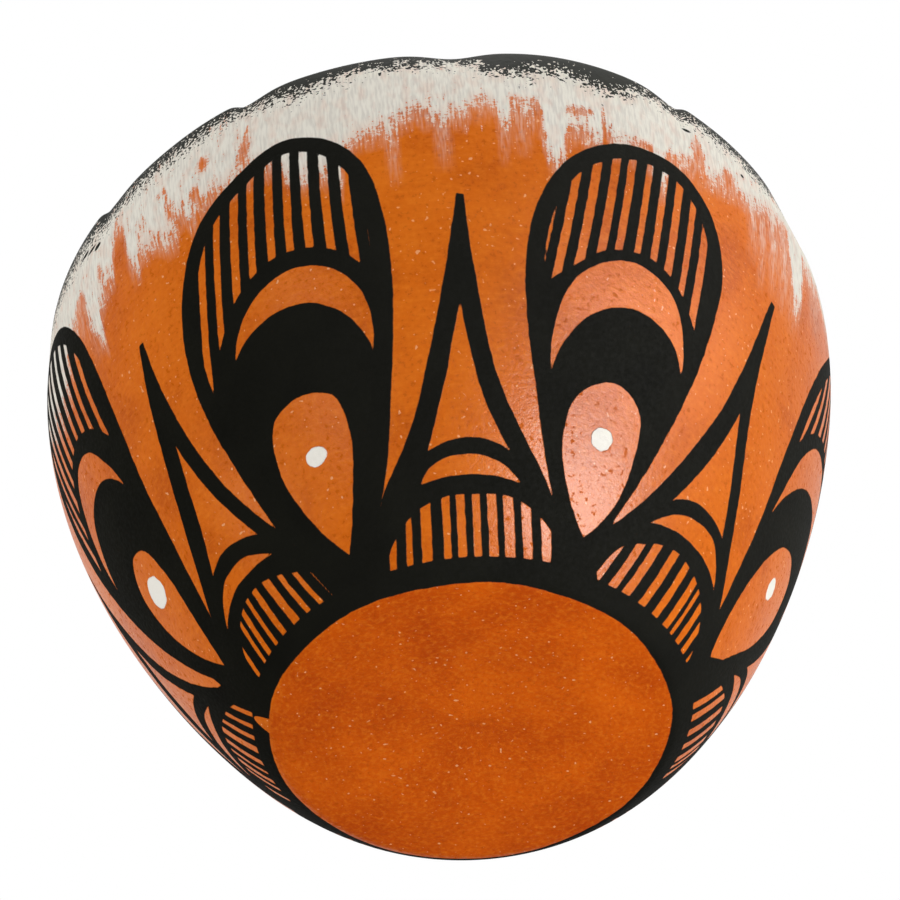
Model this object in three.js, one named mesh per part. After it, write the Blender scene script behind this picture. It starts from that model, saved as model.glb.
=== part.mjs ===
// A small hand-coiled pueblo jar with a wide open mouth and a lobed lip. Millimetres, +Z up.
// It stands on its foot: the origin is on the surface that it stands on, under the middle of the mouth.
// It is put together as the potter does it: a base pressed in a low dish, six wall coils and a rim coil.
// Each coil laps over the bevelled edge of the piece below it and is luted there with slip.
import * as THREE from "three";

// Outside of the wall: one curve from the edge of the foot to the lip
const FOOT_RADIUS = 30;
const LIP_RADIUS = 63.1;
const HEIGHT = 83.4;
const FLARE_OUT = 16.5; // the curve leaves the foot towards a point this far out
const FLARE_UP = 11.2; // and this far up
const SHOULDER_OUT = 6.3; // and comes to the lip from a point this far outside it
const SHOULDER_DROP = 24.1; // and this far below it

// Clay
const WALL_AT_FOOT = 6.5;
const WALL_AT_LIP = 4.8;
const FLOOR = 6.2;
const FLOOR_RADIUS = 20; // flat part of the inside, before it turns up into the wall
const FOOT_RING = 9; // width of the flat ring that the jar stands on
const FOOT_DISH = 0.9; // hollow of the underside, inside that ring
const FOOT_EDGE = 1.4; // rounding between the underside and the wall

// Coils, measured along the outside of the wall
const WALL_COILS = 6;
const BASE_RISE = 15; // wall that belongs to the base
const RIM_RISE = 12; // wall that belongs to the rim coil
const LAP = 4; // how far a seam runs down between the outside and the inside
const SLIP_JOINT = 0.3; // slip between two pieces

// What the hand leaves: a foot a little to one side, a lip that isn't level, and thumbed dips in the lip
const FOOT_OFFSET = 1.7; // the foot is this far towards +X from the middle of the mouth
const LIP_TILT = 2.3; // the lip is this much higher at +X and lower at -X
const DIP_COUNT = 12;
const FRONT_DIPS = [-50, -24, 5.5, 37.5]; // degrees from the front, towards +X; the rest are spaced evenly
const DIP_HALF_WIDTH = 5;
const DIP_DROP = 1.15; // how much lower the lip is in a dip
const DIP_DENT = 0.95; // and how far it is pressed in
const DIP_REACH = 10; // how far down the wall a dip can be felt

// Fineness of the facets
const TURN_STEPS = 48;
const LIP_TURN_STEPS = 144;
const WALL_STEPS = 3; // along one coil, outside and inside
const CURVE_STEPS = 5; // along a rounded corner

const wall = new THREE.CubicBezierCurve(
  new THREE.Vector2(FOOT_RADIUS, 0),
  new THREE.Vector2(FOOT_RADIUS + FLARE_OUT, FLARE_UP),
  new THREE.Vector2(LIP_RADIUS + SHOULDER_OUT, HEIGHT - SHOULDER_DROP),
  new THREE.Vector2(LIP_RADIUS, HEIGHT),
);
const wallLength = wall.getLength();
const coilRise = (wallLength - BASE_RISE - RIM_RISE) / WALL_COILS;

function thicknessAt(along) {
  return THREE.MathUtils.lerp(WALL_AT_FOOT, WALL_AT_LIP, along / wallLength);
}

// A point of the wall: so far along its outside, and so deep in the clay
function wallPoint(along, depth) {
  const share = THREE.MathUtils.clamp(along / wallLength, 0, 1);
  const tangent = wall.getTangentAt(share);
  const inward = new THREE.Vector2(-tangent.y, tangent.x);
  return wall.getPointAt(share).addScaledVector(inward, depth);
}

function outside(from, to, steps) {
  return Array.from({ length: steps + 1 }, (_, i) => wallPoint(THREE.MathUtils.lerp(from, to, i / steps), 0));
}

function inside(from, to, steps) {
  return Array.from({ length: steps + 1 }, (_, i) => {
    const along = THREE.MathUtils.lerp(from, to, i / steps);
    return wallPoint(along, thicknessAt(along));
  });
}

// Half of the slip joint, measured along the wall across the slanting seam
function halfJoint(along) {
  return (SLIP_JOINT / 2) * Math.hypot(1, LAP / thicknessAt(along));
}

// Where a piece starts above a seam or ends below it, outside and inside
function seamAbove(along) {
  const start = along + halfJoint(along);
  return { out: start, in: start - LAP };
}

function seamBelow(along) {
  const end = along - halfJoint(along);
  return { out: end, in: end - LAP };
}

function corner(from, middle, to) {
  return new THREE.QuadraticBezierCurve(from, middle, to).getPoints(CURVE_STEPS);
}

// Base: hollow underside, flat foot ring, rounded edge, the first of the wall, and the floor inside
function baseProfile() {
  const top = seamBelow(BASE_RISE);
  const ringInner = FOOT_RADIUS - FOOT_EDGE - FOOT_RING;
  const underside = corner(
    new THREE.Vector2(0, FOOT_DISH),
    new THREE.Vector2(ringInner / 2, FOOT_DISH),
    new THREE.Vector2(ringInner, 0),
  );
  const edge = corner(
    new THREE.Vector2(FOOT_RADIUS - FOOT_EDGE, 0),
    new THREE.Vector2(FOOT_RADIUS, 0),
    wallPoint(FOOT_EDGE, 0),
  );
  const insideTop = wallPoint(top.in, thicknessAt(top.in));
  const lean = wall.getTangentAt(top.in / wallLength);
  const turn = insideTop.clone().addScaledVector(lean, (FLOOR - insideTop.y) / lean.y);
  const floorEdge = corner(insideTop, turn, new THREE.Vector2(FLOOR_RADIUS, FLOOR));
  return [
    ...underside,
    ...edge,
    ...outside(FOOT_EDGE, top.out, WALL_STEPS).slice(1),
    ...floorEdge,
    new THREE.Vector2(0, FLOOR),
  ];
}

// Wall coil: a ring with both edges bevelled, so that it laps over the one below
function coilProfile(from, to) {
  const low = seamAbove(from);
  const high = seamBelow(to);
  const ring = [...outside(low.out, high.out, WALL_STEPS), ...inside(high.in, low.in, WALL_STEPS)];
  return [...ring, ring[0]];
}

// Rim coil: bevelled below, and above it the lip is rounded over half the wall's thickness
function rimProfile(from) {
  const low = seamAbove(from);
  const half = WALL_AT_LIP / 2;
  const lipStart = wallLength - half;
  const middle = wallPoint(lipStart, half);
  const outward = wallPoint(lipStart, 0).sub(middle).normalize();
  const upward = wall.getTangentAt(lipStart / wallLength);
  const lip = Array.from({ length: 2 * CURVE_STEPS - 1 }, (_, i) => {
    const turn = (Math.PI * (i + 1)) / (2 * CURVE_STEPS);
    return middle
      .clone()
      .addScaledVector(outward, half * Math.cos(turn))
      .addScaledVector(upward, half * Math.sin(turn));
  });
  const ring = [
    ...outside(low.out, lipStart, WALL_STEPS),
    ...lip,
    ...inside(lipStart, low.in, WALL_STEPS),
  ];
  return [...ring, ring[0]];
}

function dipAzimuths() {
  const first = FRONT_DIPS[0];
  const last = FRONT_DIPS[FRONT_DIPS.length - 1];
  const hidden = DIP_COUNT - FRONT_DIPS.length;
  const pitch = (360 - (last - first)) / (hidden + 1);
  return [...FRONT_DIPS, ...Array.from({ length: hidden }, (_, i) => last + pitch * (i + 1))];
}
const dips = dipAzimuths().map(THREE.MathUtils.degToRad);

// How deep in a dip an azimuth is, from 0 between the dips to 1 in the middle of one
function dipAt(azimuth) {
  const halfAngle = DIP_HALF_WIDTH / LIP_RADIUS;
  return Math.max(
    ...dips.map((dip) => {
      const away = Math.atan2(Math.sin(azimuth - dip), Math.cos(azimuth - dip));
      return Math.exp(-((away / halfAngle) ** 2));
    }),
  );
}

// The same small unevenness for every piece, so that they still fit one another
function shapeByHand(geometry) {
  const position = geometry.attributes.position;
  for (let i = 0; i < position.count; i += 1) {
    const x = position.getX(i);
    const y = position.getY(i);
    const z = position.getZ(i);
    const share = z / HEIGHT;
    const felt = THREE.MathUtils.smoothstep(z, HEIGHT - DIP_REACH, HEIGHT);
    const dip = felt > 0 ? felt * dipAt(Math.atan2(x, -y)) : 0;
    const pressed = 1 - (DIP_DENT * dip) / Math.max(Math.hypot(x, y), 1);
    position.setXYZ(
      i,
      x * pressed + FOOT_OFFSET * (1 - share) ** 2,
      y * pressed,
      z + LIP_TILT * share * (x / LIP_RADIUS) - DIP_DROP * dip,
    );
  }
  return geometry;
}

// Fired clay under slip and paint; the colours are those that show most on each piece
function finish(color, roughness) {
  return new THREE.MeshStandardMaterial({ color, roughness, metalness: 0 });
}

function piece(name, profile, turnSteps, material) {
  const geometry = new THREE.LatheGeometry(profile, turnSteps);
  geometry.rotateX(Math.PI / 2);
  shapeByHand(geometry);
  geometry.computeVertexNormals();
  const mesh = new THREE.Mesh(geometry, material);
  mesh.name = name;
  return mesh;
}

const jar = new THREE.Group();
jar.add(piece("base", baseProfile(), TURN_STEPS, finish("#b9561c", 0.5)));
for (let i = 0; i < WALL_COILS; i += 1) {
  const from = BASE_RISE + coilRise * i;
  jar.add(piece(`coil_${i + 1}`, coilProfile(from, from + coilRise), TURN_STEPS, finish("#cb6a34", 0.45)));
}
jar.add(piece("rim_coil", rimProfile(wallLength - RIM_RISE), LIP_TURN_STEPS, finish("#dfd8cd", 0.6)));

export default jar;
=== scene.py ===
"""A small hand-coiled pueblo jar, seen from below its foot. Blender units are metres. The jar's own sizes,
its outlines and names that end in _MM are in millimetres.

The solid model gives the pieces and their sizes. Each is replaced here by a fine mesh of the same piece. The
slips and the paint are laid on along the wall, as the potter lays them: each point of a mesh carries how far
inside each painted edge it is, and the materials turn that into colour, sheen and relief."""

import bpy
import numpy as np
from mathutils import Matrix, Vector


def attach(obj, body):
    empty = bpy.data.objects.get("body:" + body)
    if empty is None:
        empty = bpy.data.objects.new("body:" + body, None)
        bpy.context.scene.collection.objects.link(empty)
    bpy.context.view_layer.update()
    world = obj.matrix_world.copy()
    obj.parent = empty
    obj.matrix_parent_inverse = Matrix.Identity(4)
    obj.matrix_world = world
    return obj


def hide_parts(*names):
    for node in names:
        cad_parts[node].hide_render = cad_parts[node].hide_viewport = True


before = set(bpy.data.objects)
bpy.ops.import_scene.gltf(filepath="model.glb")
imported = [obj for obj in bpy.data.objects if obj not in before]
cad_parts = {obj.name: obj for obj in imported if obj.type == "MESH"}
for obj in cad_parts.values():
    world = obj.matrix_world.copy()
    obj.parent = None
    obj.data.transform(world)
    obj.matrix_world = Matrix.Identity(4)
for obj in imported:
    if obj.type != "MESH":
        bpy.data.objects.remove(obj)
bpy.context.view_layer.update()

MM = 0.001

# The jar's own sizes: the wall runs along one curve from the edge of the foot to the lip
FOOT_RADIUS, LIP_RADIUS, HEIGHT = 30.0, 63.1, 83.4
FLARE_OUT, FLARE_UP = 16.5, 11.2
SHOULDER_OUT, SHOULDER_DROP = 6.3, 24.1
WALL_AT_FOOT, WALL_AT_LIP = 6.5, 4.8
FLOOR, FLOOR_RADIUS = 6.2, 20.0
FOOT_RING, FOOT_DISH, FOOT_EDGE = 9.0, 0.9, 1.4
WALL_COILS, BASE_RISE, RIM_RISE, LAP = 6, 15.0, 12.0, 4.0
FOOT_OFFSET, LIP_TILT = 1.7, 2.3
DIP_COUNT, FRONT_DIPS = 12, (-50.0, -24.0, 5.5, 37.5)  # degrees from the front, towards +X
DIP_HALF_WIDTH, DIP_DROP, DIP_DENT, DIP_REACH = 5.0, 1.15, 0.95, 10.0

# What the hand leaves besides. A thumb moved sideways makes a dip steep on one side: (azimuth, half width to
# the left, half width to the right, share of a full depth). Lobes are (azimuth, how much higher the lip is).
THUMBED = [(-52.0, 1.5, 6.0, 0.5), (-25.0, 1.5, 4.5, 0.62), (5.5, 5.2, 5.2, 0.72), (39.8, 4.5, 1.4, 0.6)]
HIDDEN_DIP_DEPTH = 0.6
LOBES = [(-180, -0.1), (-120, 0.1), (-92, 0.42), (-78, 0.82), (-60, 0.76), (-52, 0.6), (-44, 0.3),
         (-30, 0.47), (-12, 0.43), (3, 0.33), (12, 0.45), (20, 0.85), (28, 0.9), (36, 0.64), (44, 0.26),
         (52, 0.05), (62, -0.2), (78, -0.55), (90, -0.34), (120, -0.3), (180, -0.1)]
LOBE_OUT = 0.7  # a lobe stands out by this share of what it rises
LOPSIDED, LOPSIDED_AT = 0.5, 0.3  # the low wall is this much fuller at +X, most at this share of the height
SCRAPES = 6  # waves that make up the unevenness of the scraped wall
SCRAPED_OUTSIDE, SCRAPED_INSIDE = 0.22, 0.5  # its depth
SCRAPED_FROM, SCRAPED_FOOT_FADE, SCRAPED_LIP_FADE = 3.0, 8.0, 10.0  # it fades towards the foot and the lip
LIP_OUTER_CORNER, LIP_INNER_CORNER = 0.9, 1.7  # rounding of the lip's edges; between them it is nearly flat

# Fineness of the meshes
WALL_STEPS = 4000  # of the line that the wall is measured on
AROUND = 1280  # points round the outside
HALF_AROUND = AROUND // 2  # and round the inside and the underside
FEWEST_AROUND, FEWER_INSIDE = 40, 27.0  # rings under this radius have fewer and fewer points
ROW_MM = 0.3  # between the rows of points up the outside
INSIDE_ROW_MM, UNDER_ROW_MM = 1.0, 0.8
SHARP_EDGE = 38  # degrees

# Camera: it looks up at the foot from in front of the jar
CAMERA_BELOW = 47.03  # degrees under the horizontal
CAMERA_ROLL = 4.37
CAMERA_AWAY_MM = 600.0
AIM_MM = (1.06, 0.0, 40.0)
AIM_UP_MM = 14.44  # up the picture from there
LENS_MM, SENSOR_MM = 152.26, 36.0


def add_object(name, data):
    thing = bpy.data.objects.new(name, data)
    bpy.context.scene.collection.objects.link(thing)
    return thing


def add_camera():
    rise, turn = np.radians([CAMERA_BELOW, CAMERA_ROLL])
    right = Vector((1, 0, 0))
    up = Vector((0, -np.sin(rise), np.cos(rise)))
    forward = Vector((0, np.cos(rise), np.sin(rise)))
    place = Vector(AIM_MM) + AIM_UP_MM * up - CAMERA_AWAY_MM * forward
    across = right * np.cos(turn) - up * np.sin(turn)
    upward = right * np.sin(turn) + up * np.cos(turn)
    camera = add_object("camera", bpy.data.cameras.new("camera"))
    camera.data.sensor_width = SENSOR_MM
    camera.data.lens = LENS_MM
    axes = Matrix((across, upward, -forward)).transposed()
    camera.matrix_world = Matrix.LocRotScale(place * MM, axes, None)
    bpy.context.scene.camera = camera


def length_along(line):
    """How far along a line of points each of them is."""
    return np.concatenate([[0], np.cumsum(np.hypot(*np.diff(line, axis=0).T))])


def read_line(at, along, line):
    """A line's points, or its tangents, at places along it."""
    return np.stack([np.interp(at, along, line[:, k]) for k in (0, 1)], -1)


def read_round(azimuth, line):
    """Values from a line of (degrees, value) that goes all the way round the jar."""
    line = np.array(line)
    degrees = (np.degrees(azimuth) - line[0, 0]) % 360 + line[0, 0]
    return np.interp(degrees, line[:, 0], line[:, 1])


# The wall
def make_wall():
    """Distance along the outside, and radius and height there, at close steps."""
    t = np.linspace(0, 1, WALL_STEPS + 1)[:, None]
    foot = np.array([FOOT_RADIUS, 0.0])
    flare = foot + [FLARE_OUT, FLARE_UP]
    lip = np.array([LIP_RADIUS, HEIGHT])
    shoulder = lip + [SHOULDER_OUT, -SHOULDER_DROP]
    line = (1 - t) ** 3 * foot + 3 * (1 - t) ** 2 * t * flare + 3 * (1 - t) * t**2 * shoulder + t**3 * lip
    return length_along(line), line


WALL_ALONG, WALL_LINE = make_wall()
WALL_LENGTH = WALL_ALONG[-1]
WALL_TANGENT = np.gradient(WALL_LINE, WALL_ALONG, axis=0)
LIP_START = WALL_LENGTH - LIP_OUTER_CORNER
LIP_END = WALL_LENGTH - LIP_INNER_CORNER  # how far up the wall the lip reaches on the inside
LIP_CORNERS = LIP_OUTER_CORNER + LIP_INNER_CORNER
OVER_LIP = LIP_START + WALL_AT_LIP + LIP_CORNERS * (np.pi / 2 - 1)  # path length where the inside starts


def wall_point(along, depth):
    """Radius and height of points so far up the outside and so deep in the clay."""
    along = np.clip(along, 0, WALL_LENGTH)
    tangent = read_line(along, WALL_ALONG, WALL_TANGENT)
    inward = np.stack([-tangent[..., 1], tangent[..., 0]], -1)
    return read_line(along, WALL_ALONG, WALL_LINE) + inward * np.asarray(depth)[..., None]


def thickness(along):
    return WALL_AT_FOOT + (WALL_AT_LIP - WALL_AT_FOOT) * along / WALL_LENGTH


def curved_corner(start, middle, end, steps):
    t = np.linspace(0, 1, steps + 1)[:, None]
    return (1 - t) ** 2 * start + 2 * (1 - t) * t * middle + t**2 * end


# What the hand leaves
def dip_at(azimuth):
    """How deep in a dip an azimuth is, from 0 between the dips to 1 in the middle of a full one."""
    hidden = DIP_COUNT - len(FRONT_DIPS)
    pitch = (360 - (FRONT_DIPS[-1] - FRONT_DIPS[0])) / (hidden + 1)
    dips = list(THUMBED)
    for i in range(hidden):
        dips.append((FRONT_DIPS[-1] + pitch * (i + 1), DIP_HALF_WIDTH, DIP_HALF_WIDTH, HIDDEN_DIP_DEPTH))
    deepest = np.zeros(azimuth.shape)
    for middle, left, right, depth in dips:
        away = along_wall(azimuth, middle, LIP_RADIUS)
        away = away / np.where(away < 0, left, right)
        deepest = np.maximum(deepest, depth * np.exp(-(away**2)))
    return deepest


def scraped(azimuth, path, depth):
    """How far the scraping and the polishing stone left the surface in from true, from 0 to depth."""
    waves = np.zeros(np.broadcast(azimuth, path).shape)
    hand = np.random.default_rng(7)
    for _ in range(SCRAPES):
        turns = hand.integers(2, 9)
        pitch = hand.uniform(13, 34)
        lean, shift = hand.uniform(0, 2 * np.pi, 2)
        waves = waves + np.cos(turns * azimuth + lean) * np.cos(2 * np.pi * path / pitch + shift)
    return depth * (0.5 + waves / (2 * SCRAPES))


def by_hand(azimuth, radius, height, path):
    """Points of the jar in metres, with its offset foot, its tilted lip and the dips thumbed into it."""
    share = height / HEIGHT
    felt = np.clip((height - (HEIGHT - DIP_REACH)) / DIP_REACH, 0, 1)
    felt = felt**2 * (3 - 2 * felt)
    dip = felt * dip_at(azimuth)
    fuller = share / LOPSIDED_AT
    lopsided = LOPSIDED * np.sin(azimuth) * fuller * np.exp((1 - fuller**2) / 2)
    away_from_foot = np.clip((path - SCRAPED_FROM) / SCRAPED_FOOT_FADE, 0, 1)
    away_from_lip = np.clip(np.abs(path - (LIP_START + OVER_LIP) / 2) / SCRAPED_LIP_FADE, 0, 1)
    depth = SCRAPED_INSIDE if path > OVER_LIP else -SCRAPED_OUTSIDE
    radius_there = radius + scraped(azimuth, path, depth) * away_from_foot * away_from_lip
    lobe = felt * read_round(azimuth, smooth(LOBES))
    pushed = lopsided - DIP_DENT * dip + LOBE_OUT * lobe
    pressed = radius_there + pushed * np.minimum(radius / FLOOR_RADIUS, 1)
    x = pressed * np.sin(azimuth) + FOOT_OFFSET * (1 - share) ** 2
    tilt = LIP_TILT * share * radius * np.sin(azimuth) / LIP_RADIUS
    return MM * np.stack([x, -pressed * np.cos(azimuth), height + tilt - DIP_DROP * dip + lobe], -1)


# Meshes are made of rings, each a line round the jar: (radius, height, path, points in it)
def rows(start, end, step):
    count = max(1, int(np.ceil(abs(end - start) / step)))
    return np.linspace(start, end, count + 1)


def outside_rings(start, end):
    along = rows(start, end, ROW_MM)
    return [(r, z, s, AROUND) for (r, z), s in zip(wall_point(along, 0 * along), along)]


def inside_rings(start, end):
    along = rows(start, end, INSIDE_ROW_MM)
    points = wall_point(along, thickness(along))
    return [(r, z, OVER_LIP + LIP_END - s, HALF_AROUND) for (r, z), s in zip(points, along)]


def spaced(line, step):
    """A line's points set again at even steps, with the distance of each from the line's start."""
    along = length_along(line)
    at = rows(0, along[-1], step)
    return read_line(at, along, line), at


def points_round(radius):
    """Fewer points round towards the middle, halved each time, so that the mesh's cells stay even."""
    count = HALF_AROUND
    while count > FEWEST_AROUND and radius < FEWER_INSIDE * count / HALF_AROUND:
        count //= 2
    return count


def base_rings():
    ring_inner = FOOT_RADIUS - FOOT_EDGE - FOOT_RING
    dish = curved_corner([0, FOOT_DISH], [ring_inner / 2, FOOT_DISH], [ring_inner, 0], 40)
    flat_end = [FOOT_RADIUS - FOOT_EDGE, 0]
    edge = curved_corner(flat_end, [FOOT_RADIUS, 0], wall_point(FOOT_EDGE, 0.0), 12)
    under, _ = spaced(np.vstack([dish, flat_end]), UNDER_ROW_MM)
    edge, edge_along = spaced(edge, ROW_MM)
    edge_path = edge_along - edge_along[-1] + FOOT_EDGE
    rings = [(r, z, edge_path[0] - (flat_end[0] - r), points_round(r)) for r, z in under[1:-1]]
    rings += [(r, z, s, AROUND) for (r, z), s in zip(edge[:-1], edge_path[:-1])]
    rings += outside_rings(FOOT_EDGE, BASE_RISE)
    top = BASE_RISE - LAP
    wall_top = wall_point(top, thickness(top))
    lean = read_line(top, WALL_ALONG, WALL_TANGENT)
    turn = wall_top + lean * (FLOOR - wall_top[1]) / lean[1]
    inside = np.vstack([curved_corner(wall_top, turn, [FLOOR_RADIUS, FLOOR], 24), [0, FLOOR]])
    inside, inside_along = spaced(inside, INSIDE_ROW_MM)
    start = OVER_LIP + LIP_END - top
    rings += [(r, z, start + s, points_round(r)) for (r, z), s in zip(inside[:-1], inside_along[:-1])]
    return rings, [(0.0, FOOT_DISH, under[0][0] - flat_end[0]), (0.0, FLOOR, start + inside_along[-1])]


def coil_rings(start, end):
    return outside_rings(start, end) + inside_rings(end - LAP, start - LAP)


def rim_rings():
    start = WALL_LENGTH - RIM_RISE
    outer_middle = wall_point(LIP_START, LIP_OUTER_CORNER)
    inner_middle = wall_point(LIP_END, thickness(LIP_END) - LIP_INNER_CORNER)
    outward = (wall_point(LIP_START, 0.0) - outer_middle) / LIP_OUTER_CORNER
    upward = np.array([-outward[1], outward[0]])
    turn = np.linspace(0, np.pi / 2, 10)[:, None]
    outer = outer_middle + LIP_OUTER_CORNER * (np.cos(turn) * outward + np.sin(turn) * upward)
    inner = inner_middle + LIP_INNER_CORNER * (np.cos(turn) * upward - np.sin(turn) * outward)
    over, along = spaced(np.vstack([outer, inner]), ROW_MM)
    lip = [(r, z, LIP_START + s, AROUND) for (r, z), s in zip(over[1:-1], along[1:-1])]
    return outside_rings(start, LIP_START) + lip + inside_rings(LIP_END, start - LAP)


def faces_between(low, low_count, high, high_count):
    """Faces between two rings, which have as many points, or one twice as many as the other."""
    i = np.arange(min(low_count, high_count))
    j = (i + 1) % len(i)
    if low_count == high_count:
        return np.stack([low + i, low + j, high + j, high + i], 1).tolist()
    even, odd, after = 2 * i, 2 * i + 1, (2 * i + 2) % (2 * len(i))
    if low_count > high_count:
        left = (low + even, low + odd, high + i)
        middle = (low + odd, high + j, high + i)
        right = (low + odd, low + after, high + j)
    else:
        left = (low + i, high + odd, high + even)
        middle = (low + i, low + j, high + odd)
        right = (low + j, high + after, high + odd)
    return np.concatenate([np.stack(corners, 1) for corners in (left, middle, right)]).tolist()


def piece_mesh(name, rings, poles=()):
    """A closed mesh through the rings, back to the first of them or, with poles, to a point at each end."""
    points, marks, starts = [], [], [0]
    for radius, height, path, count in [*rings, *((0.0, height, path, 1) for _, height, path in poles)]:
        azimuth = 2 * np.pi * np.arange(count) / count
        points.append(by_hand(azimuth, radius, height, path))
        marks.append([azimuth, np.full(count, path), np.full(count, radius)])
        starts.append(starts[-1] + count)
    counts = [ring[3] for ring in rings]
    faces = []
    for k in range(len(rings) - 1):
        faces += faces_between(starts[k], counts[k], starts[k + 1], counts[k + 1])
    last = len(rings) - 1
    if poles:
        i = np.arange(counts[0])
        faces += np.stack([(i + 1) % len(i), i, 0 * i + starts[last + 1]], 1).tolist()
        i = np.arange(counts[last])
        j = (i + 1) % len(i)
        faces += np.stack([starts[last] + i, starts[last] + j, 0 * i + starts[last + 2]], 1).tolist()
    else:
        faces += faces_between(starts[last], counts[last], 0, counts[0])
    mesh = bpy.data.meshes.new(name)
    mesh.from_pydata(np.concatenate(points).tolist(), [], faces)
    mesh.shade_smooth()
    mesh.set_sharp_from_angle(angle=np.radians(SHARP_EDGE))
    return mesh, *np.concatenate(marks, 1)


# Painted outlines. Each is drawn flat: x along the wall and s up it from the foot's edge.
def smooth(points, steps=6):
    """A smooth line through a few points."""
    p = np.array(points, float)
    gap = np.hypot(*np.diff(p, axis=0).T)[:, None]
    slope = np.diff(p, axis=0) / gap
    tangent = np.empty_like(p)
    tangent[1:-1] = (slope[:-1] * gap[1:] + slope[1:] * gap[:-1]) / (gap[:-1] + gap[1:])
    tangent[0] = 2 * slope[0] - tangent[1]
    tangent[-1] = 2 * slope[-1] - tangent[-2]
    t = np.linspace(0, 1, steps, endpoint=False)[None, :, None]
    start, end = p[:-1, None], p[1:, None]
    out, into = (tangent[:-1] * gap)[:, None], (tangent[1:] * gap)[:, None]
    line = (2 * t**3 - 3 * t**2 + 1) * start + (t**3 - 2 * t**2 + t) * out
    line = line + (3 * t**2 - 2 * t**3) * end + (t**3 - t**2) * into
    return np.vstack([line.reshape(-1, 2), p[-1]])


def outline(runs):
    """One outline from its runs. A run is smooth, and runs meet at corners."""
    return np.vstack([smooth(run) if len(run) > 2 else np.array(run, float) for run in runs])


FAR = 4.0  # beyond this a distance to an outline isn't worked out, as nothing needs it


def edge_distance(x, s, drawn):
    """Distance to a closed outline, less than 0 inside it."""
    line = outline(drawn)
    low, high = line.min(0) - FAR, line.max(0) + FAR
    near = (x > low[0]) & (x < high[0]) & (s > low[1]) & (s < high[1])
    px, ps = x[near], s[near]
    best = np.full(px.shape, FAR**2)
    inside = np.zeros(px.shape, bool)
    for (ax, ay), (bx, by) in zip(line, np.roll(line, -1, 0)):
        ex, ey = bx - ax, by - ay
        if ex == 0 and ey == 0:
            continue
        wx, wy = px - ax, ps - ay
        t = np.clip((wx * ex + wy * ey) / (ex**2 + ey**2), 0, 1)
        best = np.minimum(best, (wx - t * ex) ** 2 + (wy - t * ey) ** 2)
        if ey:
            inside ^= ((ay > ps) != (by > ps)) & (wx < ex * wy / ey)
    distance = np.full(x.shape, FAR)
    distance[near] = np.where(inside, -1, 1) * np.sqrt(best)
    return distance


# Four feathers as the hand drew them, each a little different. "arch" is the upper edge of the band over the
# crescent, and the hatching stands on it. A dot is (x, s, half width, half height). Hatching is (first gap,
# pitch, count, lean, how much the lines close together upwards, width of a gap), measured at HATCH_LEVEL.
HATCH_LEVEL = 62.0
CAP_STROKE = 2.9  # width of the black round the hatching
LEFT_FEATHER = {
    "outer": [
        [(-4.5, 13), (-8, 20), (-11.9, 30), (-14.6, 40), (-16.2, 50), (-16.2, 60), (-14.5, 70), (-10.5, 79),
         (-5, 84), (0, 85.2), (4.75, 84.2), (11, 79.6), (15.6, 70.8), (16.5, 62.5), (15.2, 50), (12.9, 40),
         (10.6, 30), (7.4, 20), (5, 14)],
        [(3, 3), (-3.5, 3)],
    ],
    "arch": [[(-15, 40), (-10.5, 52), (-5, 58.8), (-2.1, 60.4), (0.3, 60.7), (3, 60.7), (6, 59.6),
              (8.9, 57.5), (11.7, 53.3), (14, 46)]],
    "crescent": [
        [(-11, 41), (-9, 49.2), (-6.5, 53.3), (-4, 56.25), (0, 57.9), (4.75, 56.25), (7.8, 50.8), (9.2, 44)],
        [(9.2, 44), (4.75, 49.7), (0, 50.75), (-4.4, 49.7), (-8.6, 45.4), (-11, 41)],
    ],
    "drop": [[(0.1, 11.2), (-3.2, 17.5), (-5.3, 27), (-4.4, 32.8), (0, 36.4), (3.4, 34.8), (4.6, 29),
              (3.1, 20), (0.1, 11.2)]],
    "dot": (-0.25, 29.0, 2.5, 2.7),
    "hatch": (-13.2, 2.8, 10, 0.0, -0.004, 1.15),
}
BROAD_FEATHER = {
    "outer": [
        [(-12.4, 13), (-14.9, 20), (-18.1, 30), (-20.75, 40), (-21.5, 50), (-19.75, 60), (-14.25, 70),
         (-7, 75), (1.3, 78.25), (9, 75), (12.8, 70), (14.75, 60), (14.2, 50), (12.25, 40), (9.4, 30),
         (6, 20), (2.6, 13)],
        [(0.5, 3), (-8, 3)],
    ],
    "arch": [[(-18.5, 41), (-14.7, 47.9), (-10.6, 53.3), (-6.75, 55.9), (-2, 57.2), (2.75, 56.6), (6.5, 54.9),
              (9.6, 51.8), (12, 46)]],
    "crescent": [
        [(-12.8, 44.25), (-12, 46.75), (-7.4, 52), (-1.2, 54.1), (5.1, 52.2), (9, 46.75), (9.4, 41),
         (8.5, 37)],
        [(8.5, 37), (6.3, 43.25), (0.9, 47.6), (-4.5, 48.2), (-9.1, 46.9), (-12.8, 44.25)],
    ],
    "drop": [[(-3.9, 8.6), (-8.25, 16.3), (-10.6, 25.5), (-9.1, 32), (-3.8, 33.8), (0.75, 32.2), (1.8, 25.5),
              (-0.2, 17.6), (-3.9, 8.6)]],
    "dot": (-4.2, 24.2, 1.7, 1.5),
    "hatch": (-15.35, 3.13, 10, 0.1, 0.0044, 1.3),
}
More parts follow.
